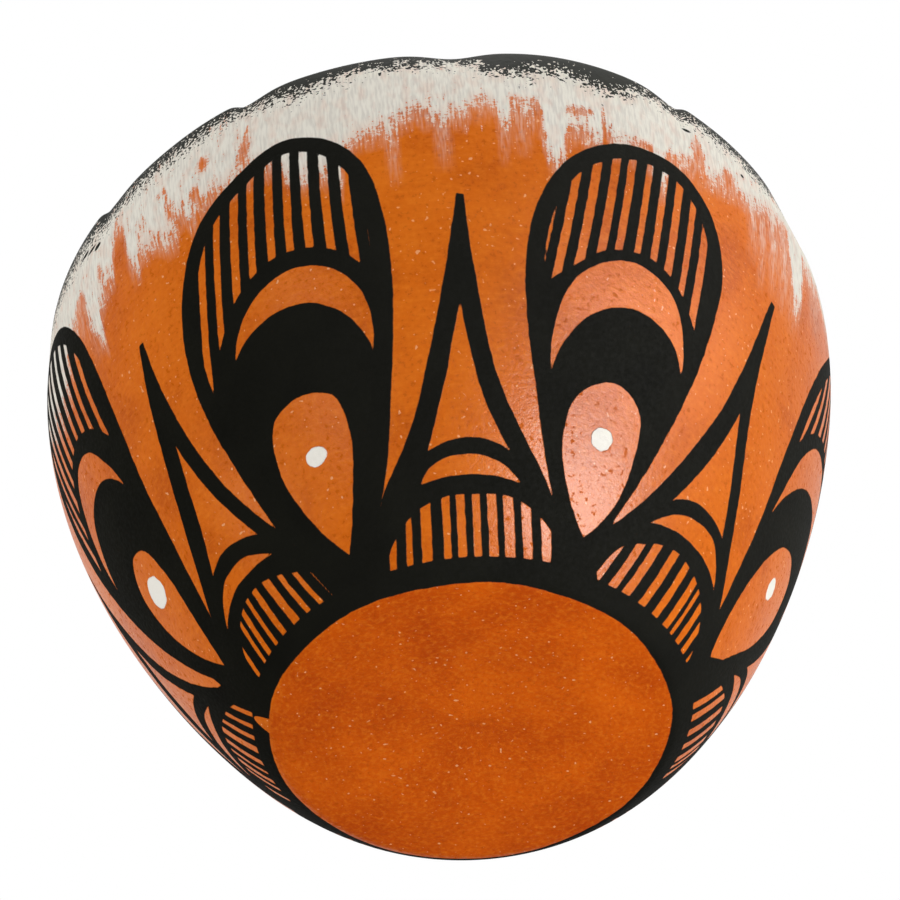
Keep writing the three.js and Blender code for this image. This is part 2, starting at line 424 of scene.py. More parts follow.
SLIM_FEATHER = {
    "outer": [
        [(-5.4, 13), (-8.1, 20), (-11, 30), (-13.5, 40), (-14.75, 50), (-13.75, 60), (-8.7, 70), (-1.8, 75),
         (5.3, 76.3), (11.25, 75), (16.5, 70), (19.3, 60), (17.8, 50), (15.1, 40), (11.6, 30), (7.6, 20),
         (4.5, 13)],
        [(3, 3), (-3.5, 3)],
    ],
    "arch": [[(-14.5, 41), (-12.3, 45.5), (-6.4, 51.3), (-3.5, 53.8), (2, 55.6), (5.5, 55.6), (9.4, 53.7),
              (13.1, 49.1), (15.5, 43)]],
    "crescent": [
        [(-9, 32.8), (-9.3, 40.5), (-6.6, 48.7), (-0.3, 53.25), (3.4, 53.75), (9.7, 50.7), (12.25, 43.4),
         (12.25, 38.7)],
        [(12.25, 38.7), (9.7, 43.7), (3.7, 46), (-2.8, 43.8), (-7.2, 38.5), (-9, 32.8)],
    ],
    "drop": [[(0.25, 9), (-3.8, 15.5), (-5.8, 23.8), (-4.3, 30), (1.9, 33), (5.4, 30.5), (5.9, 23),
              (3.7, 14.25), (0.25, 9)]],
    "dot": (0.2, 24.0, 1.75, 1.75),
    "hatch": (-11.0, 2.9, 10, 0.12, 0.0, 1.25),
}
LEANING_FEATHER = {
    "outer": [
        [(-6.5, 13), (-8.4, 20), (-10.1, 30), (-11.3, 40), (-11.2, 50), (-9.5, 59.2), (-7, 65.8),
         (-2.8, 72.5), (3, 79.2), (7, 82.5), (12, 84), (17, 83), (21, 78.5), (23.5, 71), (24, 62),
         (22.5, 50), (19.5, 40), (15.8, 30), (11.6, 20), (8, 14)],
        [(3, 3), (-3.5, 3)],
    ],
    "arch": [[(-9.8, 43), (-8.25, 49), (-3.8, 55), (-0.75, 57.5), (2.5, 59.5), (6, 60.6), (10, 60.8),
              (14, 59), (17.5, 55), (20, 49)]],
    "crescent": [
        [(-8.25, 33.3), (-7.8, 38.3), (-5.75, 47.5), (-1.2, 54.2), (4.7, 57.3), (9, 57.9), (13.5, 56),
         (16.5, 51.5), (17.5, 45)],
        [(17.5, 45), (12, 50.2), (7.6, 49.75), (0.5, 46.8), (-6.6, 38.3), (-8.25, 33.3)],
    ],
    "drop": [[(0, 7.1), (-3.7, 14.2), (-4.6, 21), (-3.5, 27.5), (0.5, 34.2), (5.9, 36.7), (9.9, 35.6),
              (11.7, 31), (9.25, 22.5), (3, 12.5), (0, 7.1)]],
    "dot": (3.0, 27.7, 1.6, 1.9),
    "hatch": (-5.5, 2.8, 11, 0.2, 0.008, 1.2),
}
FEATHERS = [(-75.5, LEFT_FEATHER), (-20.3, BROAD_FEATHER), (29.0, SLIM_FEATHER), (83.5, LEANING_FEATHER),
            (136.5, BROAD_FEATHER), (184.2, SLIM_FEATHER), (236.5, BROAD_FEATHER)]

# The spires between the feathers. Each stands on an arch with a hatched window under it. Its gaps are
# (middle, width) at GAP_LEVEL. Lines are (lean, how much they close together upwards).
GAP_LEVEL = 6.0
LEFT_SPIRE = {
    "outer": [
        [(-14.5, 12), (-12.4, 16.2), (-10.75, 19.25), (-7.2, 28), (-4.5, 37.2), (-2.25, 46.3), (-0.3, 54.25),
         (0.7, 58.3)],
        [(0.7, 58.3), (1.8, 58.3)],
        [(1.8, 58.3), (1.8, 46.3), (2.8, 35.5), (5.25, 24.7), (8.7, 16), (11, 12)],
        [(16, 8), (17, 3), (-17.5, 3), (-17, 8)],
    ],
    "inner": [
        [(-6.8, 19.6), (-4.3, 25), (-1.6, 34.7), (-0.5, 39.4)],
        [(-0.5, 39.4), (1.1, 30), (2.6, 24.7), (4.7, 18.8)],
        [(4.7, 18.8), (2, 20), (-2.8, 20.7), (-6.8, 19.6)],
    ],
    "crescent": [
        [(-10.6, 12.8), (-8.25, 15.5), (-5.75, 17.2), (-2.8, 17.75), (0.1, 17.6), (2.6, 16.5), (4.8, 15)],
        [(4.8, 15), (-1.2, 15.3), (-4.5, 15.1), (-10.6, 12.8)],
    ],
    "window": [[(-11.9, 4.4), (-11.3, 7.6), (-8.25, 10.9), (-5.3, 12.3), (-1.2, 12.8), (2.2, 12.3),
                (5.5, 10.9), (8.8, 8.8), (10.9, 6.3), (11.7, 4.4)]],
    "gaps": [(-11, 0.8), (-8.1, 0.7), (-6.2, 1), (-4, 0.7), (-1.6, 1.1), (1.4, 1.4), (4.1, 0.9), (6.6, 0.8),
             (9.2, 0.9), (11.3, 0.5)],
    "lines": (0.0, 0.012),
}
FRONT_SPIRE = {
    "outer": [
        [(-15, 12), (-14.1, 15.1), (-12, 18.8), (-9.1, 24.7), (-6.6, 33), (-4.5, 41.3), (-2.6, 50),
         (-1.6, 55.5), (-0.5, 61.5)],
        [(-0.5, 61.5), (0.6, 61.3)],
        [(0.6, 61.3), (1.3, 50), (2, 43), (2.8, 36.3), (4.5, 28.8), (7.2, 22.2), (10.5, 15.1), (11.5, 12)],
        [(17, 8), (18, 3), (-18.5, 3), (-18, 8)],
    ],
    "inner": [
        [(-7, 20.3), (-5.2, 26.3), (-3.3, 33), (-2.2, 38), (-1, 43)],
        [(-1, 43), (-0.1, 36.3), (1.3, 28.8), (3.4, 23), (4.9, 19.9)],
        [(4.9, 19.9), (1.5, 21.5), (-1.5, 21.8), (-4.5, 21.3), (-7, 20.3)],
    ],
    "crescent": [
        [(-8.3, 15.5), (-7, 17.6), (-2, 19.3), (3.4, 18), (6.3, 15.1)],
        [(6.3, 15.1), (0.5, 16.2), (-2.8, 16.2), (-8.3, 15.5)],
    ],
    "window": [[(-14.3, 4.2), (-13.3, 7), (-10.3, 11), (-6.2, 12.9), (-0.2, 13.3), (5.5, 12.7), (9.7, 9.7),
                (12.6, 4.2)]],
    "gaps": [(-13, 1.1), (-10.45, 0.9), (-7.85, 1.5), (-4.85, 1.1), (-2.7, 1.2), (-0.45, 1.1), (1.85, 1.3),
             (4.25, 1.5), (6.85, 1.4), (9.75, 1.5), (11.9, 0.6)],
    "lines": (0.0, 0.0),
}
RIGHT_SPIRE = {
    "outer": [
        [(-16, 11.5), (-13.25, 16.7), (-11.2, 21.7), (-8.25, 30), (-5.75, 37.9), (-4.1, 45), (-2.25, 53.3),
         (-0.75, 60), (0.2, 63.3)],
        [(0.2, 63.3), (1.3, 62.9)],
        [(1.3, 62.9), (0.3, 53.3), (0.2, 45.8), (1.3, 37.9), (3.7, 29.2), (6.75, 20.8), (10.3, 14),
         (11.5, 12)],
        [(16, 8), (17, 3), (-19.5, 3), (-19, 8)],
    ],
    "inner": [
        [(-8.4, 20), (-6.2, 25), (-3.5, 33.3), (-1.75, 40)],
        [(-1.75, 40), (0.3, 31.7), (2.1, 26), (3.8, 21.1)],
        [(3.8, 21.1), (-0.3, 22.3), (-3.25, 22.3), (-5.75, 21.7), (-8.4, 20)],
    ],
    "crescent": [
        [(-10.1, 15.2), (-8.25, 17.3), (-5.75, 19), (-2.8, 19.8), (0.1, 20), (2.6, 19.3), (4.7, 17.5),
         (7, 14.3)],
        [(7, 14.3), (2.2, 16.1), (-1.2, 16.4), (-4.9, 16.4), (-10.1, 15.2)],
    ],
    "window": [[(-14.2, 3.9), (-13.7, 6.7), (-12, 10.4), (-9.5, 11.8), (-6.6, 13.2), (-4.1, 13.75),
                (-1.2, 13.6), (1.75, 12.9), (4.25, 11.9), (6.75, 10.2), (8.7, 8.1), (10.6, 3.9)]],
    "gaps": [(-13.1, 1.1), (-10.2, 1.4), (-7.6, 1.5), (-4.2, 1.4), (-1.1, 1.3), (1.8, 1.3), (3.65, 0.7),
             (5.8, 1.2), (8, 1.1), (10.2, 0.6)],
    "lines": (0.07, 0.0),
}
SPIRES = [(-100.0, LEFT_SPIRE), (-50.3, LEFT_SPIRE), (4.9, FRONT_SPIRE), (58.5, RIGHT_SPIRE),
          (111.0, RIGHT_SPIRE), (160.0, FRONT_SPIRE), (210.5, LEFT_SPIRE)]

# The ring round the foot that they all stand on. Where the brush came round to its start, it left a notch.
RING_TOP, RING_BOTTOM = 4.0, 0.4
RING_NOTCH = (-84.5, 3.9, 1.7)  # azimuth, how far up it reaches, half width


def along_wall(azimuth, middle, radius):
    """Distance along the wall from a middle line."""
    away = azimuth - np.radians(middle)
    return np.arctan2(np.sin(away), np.cos(away)) * radius


def paint_feather(x, s, drawn):
    """Distance to the feather's black, and to its white dot."""
    outer, crescent, drop = (edge_distance(x, s, drawn[part]) for part in ("outer", "crescent", "drop"))
    arch = outline(drawn["arch"])
    above_arch = s - np.interp(x, arch[:, 0], arch[:, 1])
    first, pitch, count, lean, closing, gap = drawn["hatch"]
    hand = np.random.default_rng(count + int(10 * gap))
    lines = np.full(x.shape, FAR)
    for i in range(count):
        at = first + pitch * i + hand.uniform(-0.15, 0.15)
        middle = at + (s - HATCH_LEVEL) * (lean - closing * at)
        lines = np.minimum(lines, np.abs(x - middle) - gap / 2 * hand.uniform(0.85, 1.15))
    gaps = np.maximum.reduce([lines, -0.8 * above_arch, outer + CAP_STROKE])
    dot_x, dot_s, across, upright = drawn["dot"]
    dot = (np.hypot((x - dot_x) / across, (s - dot_s) / upright) - 1) * across
    return np.maximum.reduce([outer, -gaps, -crescent, -drop]), dot


def paint_spire(x, s, drawn):
    """Distance to the spire's black."""
    parts = ("outer", "inner", "crescent", "window")
    outer, inner, crescent, window = (edge_distance(x, s, drawn[part]) for part in parts)
    lines = np.full(x.shape, FAR)
    lean, closing = drawn["lines"]
    for at, gap in drawn["gaps"]:
        middle = at + (s - GAP_LEVEL) * (lean - closing * at)
        lines = np.minimum(lines, np.abs(x - middle) - gap / 2)
    return np.maximum.reduce([outer, -inner, -crescent, -np.maximum(window, lines)])


# Flecks of black beside the lip, where the brush touched: azimuth, how far up, half width, half height
FLECKS = [(40.6, 86.1, 0.9, 0.4), (51.6, 84.3, 0.45, 0.4), (11.3, 85.8, 0.4, 0.25), (-57.6, 86.8, 1.3, 0.35),
          (-55.6, 85.9, 1.4, 0.3), (-53.9, 84.9, 0.9, 0.5), (24.0, 86.9, 0.5, 0.3), (-15.4, 87.6, 0.6, 0.3)]


def paint_distances(azimuth, s, radius):
    """Distance to the black paint and to the white dots, less than 0 where there is paint."""
    ring_bottom = RING_BOTTOM + 0.8 * np.cos(azimuth + 1.6) + 0.12 * np.sin(9 * azimuth)
    ring_top = RING_TOP + 0.5 * np.cos(azimuth + 1.2) + 0.1 * np.sin(5 * azimuth)
    notch, notch_top, notch_half = RING_NOTCH
    beside = np.abs(along_wall(azimuth, notch, radius)) / notch_half
    ring_bottom = np.maximum(ring_bottom, notch_top - (notch_top - RING_BOTTOM) * beside**2)
    black = s - ring_top
    white = np.full(s.shape, FAR)
    for middle, drawn in FEATHERS:
        feather, dot = paint_feather(along_wall(azimuth, middle, radius), s, drawn)
        black = np.minimum(black, feather)
        white = np.minimum(white, dot)
    for middle, drawn in SPIRES:
        black = np.minimum(black, paint_spire(along_wall(azimuth, middle, radius), s, drawn))
    for middle, level, half_width, half_height in FLECKS:
        away = np.hypot(along_wall(azimuth, middle, radius) / half_width, (s - level) / half_height)
        black = np.minimum(black, (away - 1) * half_height)
    return np.maximum(black, ring_bottom - s), white


# White slip, brushed down from the lip: how far down its strokes reach, as (azimuth, distance up the wall)
WHITE_EDGE = [
    (-88, 76), (-80, 70), (-74, 68), (-69, 68), (-66, 73), (-62, 74.5), (-59, 74), (-58.3, 71), (-57, 67),
    (-55.8, 65), (-55.2, 72), (-53.5, 73.5), (-52, 75), (-50.7, 74.5), (-50.2, 79), (-49.3, 83.5),
    (-47.5, 83), (-47, 76), (-46.2, 71.5), (-45.4, 71), (-44.8, 73.5), (-42, 73.5), (-40.6, 72),
    (-39.8, 70.7), (-37.6, 70.7), (-37, 74), (-35.6, 74), (-35, 71), (-33.5, 73.5), (-24, 74.5),
    (-20.5, 74), (-19, 71), (-17.5, 69), (-13, 68.5), (-11.5, 66), (-10.6, 72.5), (-8.5, 74.5),
    (-4.9, 74.7), (-4.2, 73.5), (-3.1, 75), (-2.5, 76.5), (-0.3, 78.2), (0.6, 76.7), (1.7, 77), (2.2, 75.5),
    (3.6, 75), (4.5, 76.7), (6.6, 76.2), (7.2, 79), (10.3, 79.3), (11, 76.5), (11.7, 73), (12.3, 73),
    (12.7, 78), (14.2, 78.3), (14.9, 76.5), (16.6, 76), (17.2, 73), (18, 69.5), (19, 67.5), (19.8, 69),
    (20.3, 73), (21.3, 75.3), (22.8, 76.3), (24.5, 74.5), (25.1, 73.5), (25.8, 74), (26.1, 79.5),
    (26.7, 78), (27.5, 75), (33.5, 74.5), (34.3, 70), (35.8, 70), (36.5, 75), (39.3, 76.8), (41.5, 77.7),
    (43.6, 77), (47, 77.8), (50, 79), (52, 78.3), (55, 79.3), (57, 80.3), (60, 81.5), (62.8, 80.5),
    (63.4, 76), (64, 70), (65.5, 67), (66.8, 68), (67.6, 73), (68, 79), (71, 79.5), (75, 80.5), (80, 79),
    (88, 78),
]
WHITE_INSIDE = 6.0  # how far down the inside the same brush went
VEIL, VEIL_FADE = 0.85, 12.0  # how much a veil covers at most, and the mm over which it fades out
# Thin veils that the same brush left further down: azimuth, half width in degrees, where it ends
VEILS = [(-57.5, 2.0, 63), (-60.5, 1.6, 68), (-46.8, 0.7, 67), (-43.2, 0.8, 69), (-39, 1.2, 68),
         (-10.5, 1.2, 69), (-3.9, 1.0, 63), (3.2, 1.3, 65), (8.5, 1.6, 74), (11.6, 0.9, 66),
         (14.1, 1.6, 68), (19.0, 1.4, 65), (23, 1.5, 71), (-17, 2.5, 66), (35, 1.5, 66), (42, 1.8, 72),
         (53.5, 1.6, 66), (55.5, 1.0, 62), (58.5, 1.6, 63), (61.5, 1.8, 62), (65, 2.2, 61), (73, 3.0, 68)]
# Spots where the slip hardly covers: azimuth, distance up the wall, half width, half height, how bare
THIN_SPOTS = [(-31.8, 82.3, 1.5, 2.6, 12), (-39.5, 82, 2.2, 1.8, 10), (-38.3, 77.5, 1.1, 3.6, 8),
              (-24.3, 85, 1.2, 5, 8), (-59.8, 78, 2.2, 3, 8), (-60.3, 72.6, 1.4, 2.2, 8),
              (-44, 80, 2, 3, 4), (-33.6, 77, 0.9, 2, 6), (34.2, 77.2, 3.6, 1.3, 6), (42.3, 83, 1.2, 5, 9),
              (22.5, 80.5, 3, 1.4, 6), (17, 78.5, 1.2, 3, 6), (-25.2, 79.5, 1, 3, 6),
              (-54, 79.5, 1, 2.5, 7), (48, 80.5, 1.2, 2, 5), (-21, 84.5, 2.5, 2, 5), (-46, 86, 3, 1.5, 4),
              (-70, 80, 2, 3, 5), (14, 81, 2, 1, 4)]


def stroke_edge():
    """The edge of the white all the way round, with more strokes of the same brush on the far side."""
    hand = np.random.default_rng(11)
    edge = list(WHITE_EDGE)
    azimuth = edge[-1][0]
    while azimuth < edge[0][0] + 355:
        width = hand.uniform(1.2, 4.0)
        end = hand.uniform(70, 80)
        edge += [(azimuth + 0.5, end), (azimuth + width, end + hand.uniform(-1.5, 1.5))]
        azimuth += width
    return [*edge, (edge[0][0] + 360, edge[0][1])]


def hidden_veils():
    hand = np.random.default_rng(12)
    return [(a, hand.uniform(0.7, 2.2), hand.uniform(62, 72)) for a in np.arange(92, 268, 5.5)]


def white_depth(azimuth, s, radius):
    """How far above the edge of the white slip a point is."""
    depth = s - read_round(azimuth, stroke_edge())
    for middle, level, half_width, half_height, bare in THIN_SPOTS:
        away = np.hypot(along_wall(azimuth, middle, radius) / half_width, (s - level) / half_height)
        depth = depth - bare * np.exp(-(away**2))
    return np.minimum(depth, OVER_LIP + WHITE_INSIDE - s)


def white_veil(azimuth, s, radius, depth):
    """How much of the orange the last of the slip in the brush covers below the white's edge, from 0 to 1."""
    veil = 0.6 * np.clip(1 + depth / 4, 0, 1)
    for middle, half_degrees, end in [*VEILS, *hidden_veils()]:
        beside = np.clip(1.2 - np.abs(along_wall(azimuth, middle, radius)) / (half_degrees * 1.15), 0, 1)
        veil = np.maximum(veil, VEIL * beside * np.clip((s - end) / VEIL_FADE, 0, 1) * (s < OVER_LIP))
    return veil


# Black on the lip: how far down the outside it reaches, as (azimuth, distance up the wall)
LIP_EDGE = [
    (-180, 88.5), (-140, 90), (-110, 88), (-80, 89), (-62, 89), (-52, 88.2), (-45, 88.6), (-36, 88.8),
    (-28, 89.4), (-24, 90.2), (-21, 89.2), (-17, 87.9), (-12, 88.9), (-6, 89.4), (0, 89.5), (4, 90),
    (6, 90.3), (8, 89.3), (10, 87.4), (13, 86.6), (16.5, 87.3), (18, 88.6), (19.5, 88), (21.5, 88.7),
    (24, 87.4), (28, 86.8), (30.5, 88.2), (33, 89.7), (38.5, 89.9), (40, 89.4), (44, 89.3), (50, 89.1),
    (57, 88.4), (63, 89.5), (75, 90), (90, 89), (120, 88), (150, 90), (180, 88.5),
]
LIP_BAND_INSIDE = 2.5  # and how far down the inside
# From 0, where the lower edge of that black breaks into flakes, to 1, where it breaks into fine grains
LIP_SPECKLE = [(-180, 1), (-28, 1), (-8, 0.2), (36, 0), (44, 0.8), (180, 0.8)]
SLIP_INSIDE = 9.0  # how far down the inside the orange slip goes; below it the clay is bare


def lip_depth(azimuth, path):
    """How far inside the black band of the lip a point is."""
    end = OVER_LIP + LIP_BAND_INSIDE + 0.6 * np.sin(4 * azimuth)
    return np.minimum(path - read_round(azimuth, LIP_EDGE), end - path)


def add_paint_marks(mesh, azimuth, path, radius):
    black, dots = paint_distances(azimuth, path, radius)
    depth = white_depth(azimuth, path, radius)
    marks = {
        "black_paint_mm": black,
        "white_dot_mm": dots,
        "white_slip_mm": depth,
        "white_veil": white_veil(azimuth, path, radius, depth),
        "lip_paint_mm": lip_depth(azimuth, path),
        "lip_speckle": read_round(azimuth, LIP_SPECKLE),
        "path_mm": path,
    }
    for name, values in marks.items():
        mesh.attributes.new(name, "FLOAT", "POINT").data.foreach_set("value", values.astype(np.float32))
    wall = np.stack([LIP_RADIUS * np.sin(azimuth), -LIP_RADIUS * np.cos(azimuth), path], -1)
    places = mesh.attributes.new("wall_mm", "FLOAT_VECTOR", "POINT").data
    places.foreach_set("vector", wall.astype(np.float32).ravel())


# Materials are coats, laid over one another from the clay outwards. Nothing is glazed, so even the polished
# slip sends back little light, and the rougher coats send back a share of that
CLAY_SPECULAR = 0.06
STONE_POLISHED, MATT, PAINTED = 1.0, 0.5, 0.2
BRUSHED_END = 6.0  # how far apart the strokes of the orange slip end, inside the jar


def linear(hex_colour):
    """An sRGB hex colour as linear red, green, blue and alpha."""
    parts = [int(hex_colour[i : i + 2], 16) / 255 for i in (1, 3, 5)]
    return (*(c / 12.92 if c <= 0.04045 else ((c + 0.055) / 1.055) ** 2.4 for c in parts), 1.0)


def add_node(tree, kind, inputs, output=0, **settings):
    """The output of a new shader node. inputs are values, or outputs of other nodes. Sockets go by name or
    place: a mix has its share at 0, and its numbers at 2 and 3 or its colours at 6, 7 and, mixed, 2."""
    node = tree.nodes.new("ShaderNode" + kind)
    for name, value in settings.items():
        setattr(node, name, value)
    for name, value in inputs.items():
        if isinstance(value, bpy.types.NodeSocket):
            tree.links.new(value, node.inputs[name])
        else:
            node.inputs[name].default_value = value
    return node.outputs[output]


def wall_marks(tree, across, upwards, detail, roughness=0.5):
    """Marks that a brush or a stone leaves on the wall, so many mm across and upwards, from 0 to 1."""
    wall = add_node(tree, "Attribute", {}, "Vector", attribute_name="wall_mm")
    pitch = (1 / across, 1 / across, 1 / upwards)
    place = add_node(tree, "VectorMath", {0: wall, 1: pitch}, operation="MULTIPLY")
    even = {"Vector": place, "Scale": 1.0, "Detail": detail, "Roughness": roughness}
    return add_node(tree, "TexNoise", even)


def broken_up(tree, reach, *marks):
    """An edge broken up by marks. Each counts from its middle value, so the edge stays where it was drawn."""
    for mark, amount in marks:
        off_middle = add_node(tree, "Math", {0: mark, 1: 0.5}, operation="SUBTRACT")
        reach = add_node(tree, "Math", {0: off_middle, 1: amount, 2: reach}, operation="MULTIPLY_ADD")
    return reach


def lay_over(tree, coat, cover, colour, roughness, gloss, thick_mm):
    """A coat with another laid over it where cover is 1."""
    relief = {0: cover, 1: thick_mm, 2: coat["relief_mm"]}
    return {
        "colour": add_node(tree, "Mix", {0: cover, 6: coat["colour"], 7: colour}, 2, data_type="RGBA"),
        "roughness": add_node(tree, "Mix", {0: cover, 2: coat["roughness"], 3: roughness}),
        "gloss": add_node(tree, "Mix", {0: cover, 2: coat["gloss"], 3: gloss}),
        "relief_mm": add_node(tree, "Math", relief, operation="MULTIPLY_ADD"),
    }


def bare_clay(tree, _):
    """Fired clay with sand in it, wiped smooth with a wet cloth and left bare: matt and pinkish tan."""
    place = add_node(tree, "TexCoord", {}, "Object")
    cloud = add_node(tree, "TexNoise", {"Vector": place, "Scale": 1 / (18 * MM), "Detail": 4.0})
    sand = add_node(tree, "TexNoise", {"Vector": place, "Scale": 1 / (0.7 * MM), "Detail": 3.0})
    shade = add_node(tree, "Mix", {0: cloud, 6: linear("#b57a4c"), 7: linear("#cd9a70")}, 2, data_type="RGBA")
    dark = add_node(tree, "MapRange", {"Value": sand, "From Min": 0.36, "From Max": 0.30})
    return {
        "colour": add_node(tree, "Mix", {0: dark, 6: shade, 7: linear("#8d5a38")}, 2, data_type="RGBA"),
        "roughness": add_node(tree, "Math", {0: sand, 1: 0.2, 2: 0.68}, operation="MULTIPLY_ADD"),
        "gloss": MATT,
        "relief_mm": add_node(tree, "Math", {0: sand, 1: 0.05}, operation="MULTIPLY"),
    }


def slip_cover(tree):
    """Where the slip covers the clay: the whole outside, and over the lip to a brushed edge inside."""
    path = add_node(tree, "Attribute", {}, "Fac", attribute_name="path_mm")
    # Strokes of a brush about 9 mm wide, pulled round the jar
    strokes = wall_marks(tree, 9, 2.5, 4.0)
    level = broken_up(tree, path, (strokes, BRUSHED_END))
    end = OVER_LIP + SLIP_INSIDE
    return add_node(tree, "MapRange", {"Value": level, "From Min": end + 0.4, "From Max": end - 0.4})


def orange_slip(tree, coat, pale="#d96c0e", middle="#d06304", deep="#be5500", cover=None):
    """Iron-rich orange slip, rubbed with a smooth stone while damp. The rubbing gives a soft sheen and fine
    level ribs, broken by pits. The slip clouds where it lies thicker, and a few pale grains of sand show."""
    place = add_node(tree, "TexCoord", {}, "Object")
    uneven = {"Vector": place, "Roughness": 0.6}
    cloud = add_node(tree, "TexNoise", {**uneven, "Scale": 1 / (15 * MM), "Detail": 5.0})
    grain = add_node(tree, "TexNoise", {**uneven, "Scale": 1 / (0.8 * MM), "Detail": 3.0})
    # Ribs about half a millimetre apart, each a few millimetres long
    ribs = wall_marks(tree, 2.4, 0.55, 2.0)
    colour = add_node(tree, "ValToRGB", {"Fac": cloud})
    ramp = colour.node.color_ramp.elements
    for stop, (position, shade) in enumerate([(0.34, deep), (0.5, middle), (0.7, pale)]):
        element = ramp[stop] if stop < 2 else ramp.new(position)
        element.position = position
        element.color = linear(shade)
    rib_light = add_node(tree, "MapRange", {"Value": ribs, "From Min": 0.5, "From Max": 0.75, "To Max": 0.3})
    speck = add_node(tree, "MapRange", {"Value": grain, "From Min": 0.48, "From Max": 0.72, "To Max": 0.35})
    light = add_node(tree, "Math", {0: rib_light, 1: speck}, operation="ADD")
    # Sand grains, 0.2 to 0.5 mm, from the tops of a coarser noise
    sand = add_node(tree, "TexNoise", {"Vector": place, "Scale": 1 / (0.62 * MM), "Detail": 0.0})
    sandy = add_node(tree, "MapRange", {"Value": sand, "From Min": 0.77, "From Max": 0.84, "To Max": 0.6})
    sunk = {"Value": grain, "From Min": 0.42, "From Max": 0.32}
    pits = add_node(tree, "MapRange", sunk, interpolation_type="SMOOTHSTEP")
    # The sunk pits are also painted darker, a painted shade in them, besides losing their sheen
    dark = add_node(tree, "Math", {0: pits, 1: 0.35}, operation="MULTIPLY")
    for share, tint in ((light, "#e27c1c"), (sandy, "#f0b784"), (dark, "#a14404")):
        colour = add_node(tree, "Mix", {0: share, 6: colour, 7: linear(tint)}, 2, data_type="RGBA")
    roughness = add_node(tree, "MapRange", {"Value": pits, "To Min": 0.31, "To Max": 0.75})
    gloss = add_node(tree, "MapRange", {"Value": pits, "To Min": STONE_POLISHED, "To Max": PAINTED})
    rise = add_node(tree, "Math", {0: grain, 1: 0.05}, operation="MULTIPLY")
    relief = add_node(tree, "Math", {0: ribs, 1: 0.022, 2: rise}, operation="MULTIPLY_ADD")
    return lay_over(tree, coat, cover or slip_cover(tree), colour, roughness, gloss, relief)


def foot_slip(tree, coat):
    """The same slip under the foot, wiped on thicker and hardly rubbed: burnt orange, with pale specks."""
    path = add_node(tree, "Attribute", {}, "Fac", attribute_name="path_mm")
    round_edge = {"Value": path, "From Min": 1.6, "From Max": 0.4}
    under = add_node(tree, "MapRange", round_edge, interpolation_type="SMOOTHSTEP")
    return orange_slip(tree, coat, "#d35c02", "#c34f00", "#b34200", under)


def white_slip(tree, coat):
    """White clay slip, brushed down over the orange with a nearly dry flat brush and not rubbed: chalky and
    matt. It ends in bristle streaks, and below them it only catches on the ribs of the wall."""
    depth, veil, dry = (
        add_node(tree, "Attribute", {}, "Fac", attribute_name=name)
        for name in ("white_slip_mm", "white_veil", "lip_speckle")
    )
    # Below its edge the slip lies no thicker than the veil; both are in mm of wall that the brush still wets.
    # Even where it is thickest, the brush leaves pinholes, and more of them where it was drier
    thinned = add_node(tree, "Math", {0: veil, 1: 6.0, 2: -6.5}, operation="MULTIPLY_ADD")
    fullest = add_node(tree, "Math", {0: dry, 1: -2.3, 2: 6.6}, operation="MULTIPLY_ADD")
    thickest = add_node(tree, "Math", {0: depth, 1: fullest}, operation="MINIMUM")
    wet = add_node(tree, "Math", {0: thickest, 1: thinned}, operation="MAXIMUM")
    # Streaks of the brush and of single bristles, grain of half a millimetre, and patches
    streak = wall_marks(tree, 0.8, 6, 2.0)
    bristle = wall_marks(tree, 0.35, 2.5, 1.0)
    grain = wall_marks(tree, 0.55, 0.4, 2.0, 0.7)
    patch = wall_marks(tree, 2, 4, 3.0)
    reach = broken_up(tree, wet, (patch, 7.0), (streak, 8.0), (bristle, 9.0), (grain, 13.0))
    ending = {"Value": reach, "From Min": -0.6, "From Max": 1.4}
    covered = add_node(tree, "MapRange", ending, interpolation_type="SMOOTHSTEP")
    # The orange shows through, most where the brush was nearly dry, and in patches
    opaque = add_node(tree, "MapRange", {"Value": wet, "From Min": -4.0, "From Max": 3.8, "To Min": 0.5})
    patchy = add_node(tree, "MapRange", {"Value": patch, "From Min": 0.35, "From Max": 0.52, "To Min": 0.87})
    thick = add_node(tree, "Math", {0: opaque, 1: patchy}, operation="MULTIPLY")
    solid = add_node(tree, "Math", {0: covered, 1: thick}, operation="MULTIPLY")
    # The veil is a haze that the bristles comb into fine lines
    lines = {"Value": bristle, "From Min": 0.3, "From Max": 0.75, "To Min": 0.1, "To Max": 0.75}
    combed = add_node(tree, "MapRange", lines)
    haze = add_node(tree, "Math", {0: combed, 1: veil}, operation="MULTIPLY")
    cover = add_node(tree, "Math", {0: solid, 1: haze}, operation="MAXIMUM")
    combing = add_node(tree, "MapRange", {"Value": bristle, "From Min": 0.35, "From Max": 0.6})
    chalk = {0: combing, 6: linear("#d8d2c7"), 7: linear("#e8e3d7")}
    tint = add_node(tree, "Mix", chalk, 2, data_type="RGBA")
    return lay_over(tree, coat, cover, tint, 0.75, MATT, thick_mm=0.04)


def wavering(tree, attribute, reach):
    """Cover of paint with a crisp edge that wavers a little, as the hand does."""
    place = add_node(tree, "TexCoord", {}, "Object")
    distance = add_node(tree, "Attribute", {}, "Fac", attribute_name=attribute)
    waver = add_node(tree, "TexNoise", {"Vector": place, "Scale": 1 / (2 * MM), "Detail": 3.0})
    edge = broken_up(tree, distance, (waver, reach))
    return add_node(tree, "MapRange", {"Value": edge, "From Min": 0.08, "From Max": -0.08})


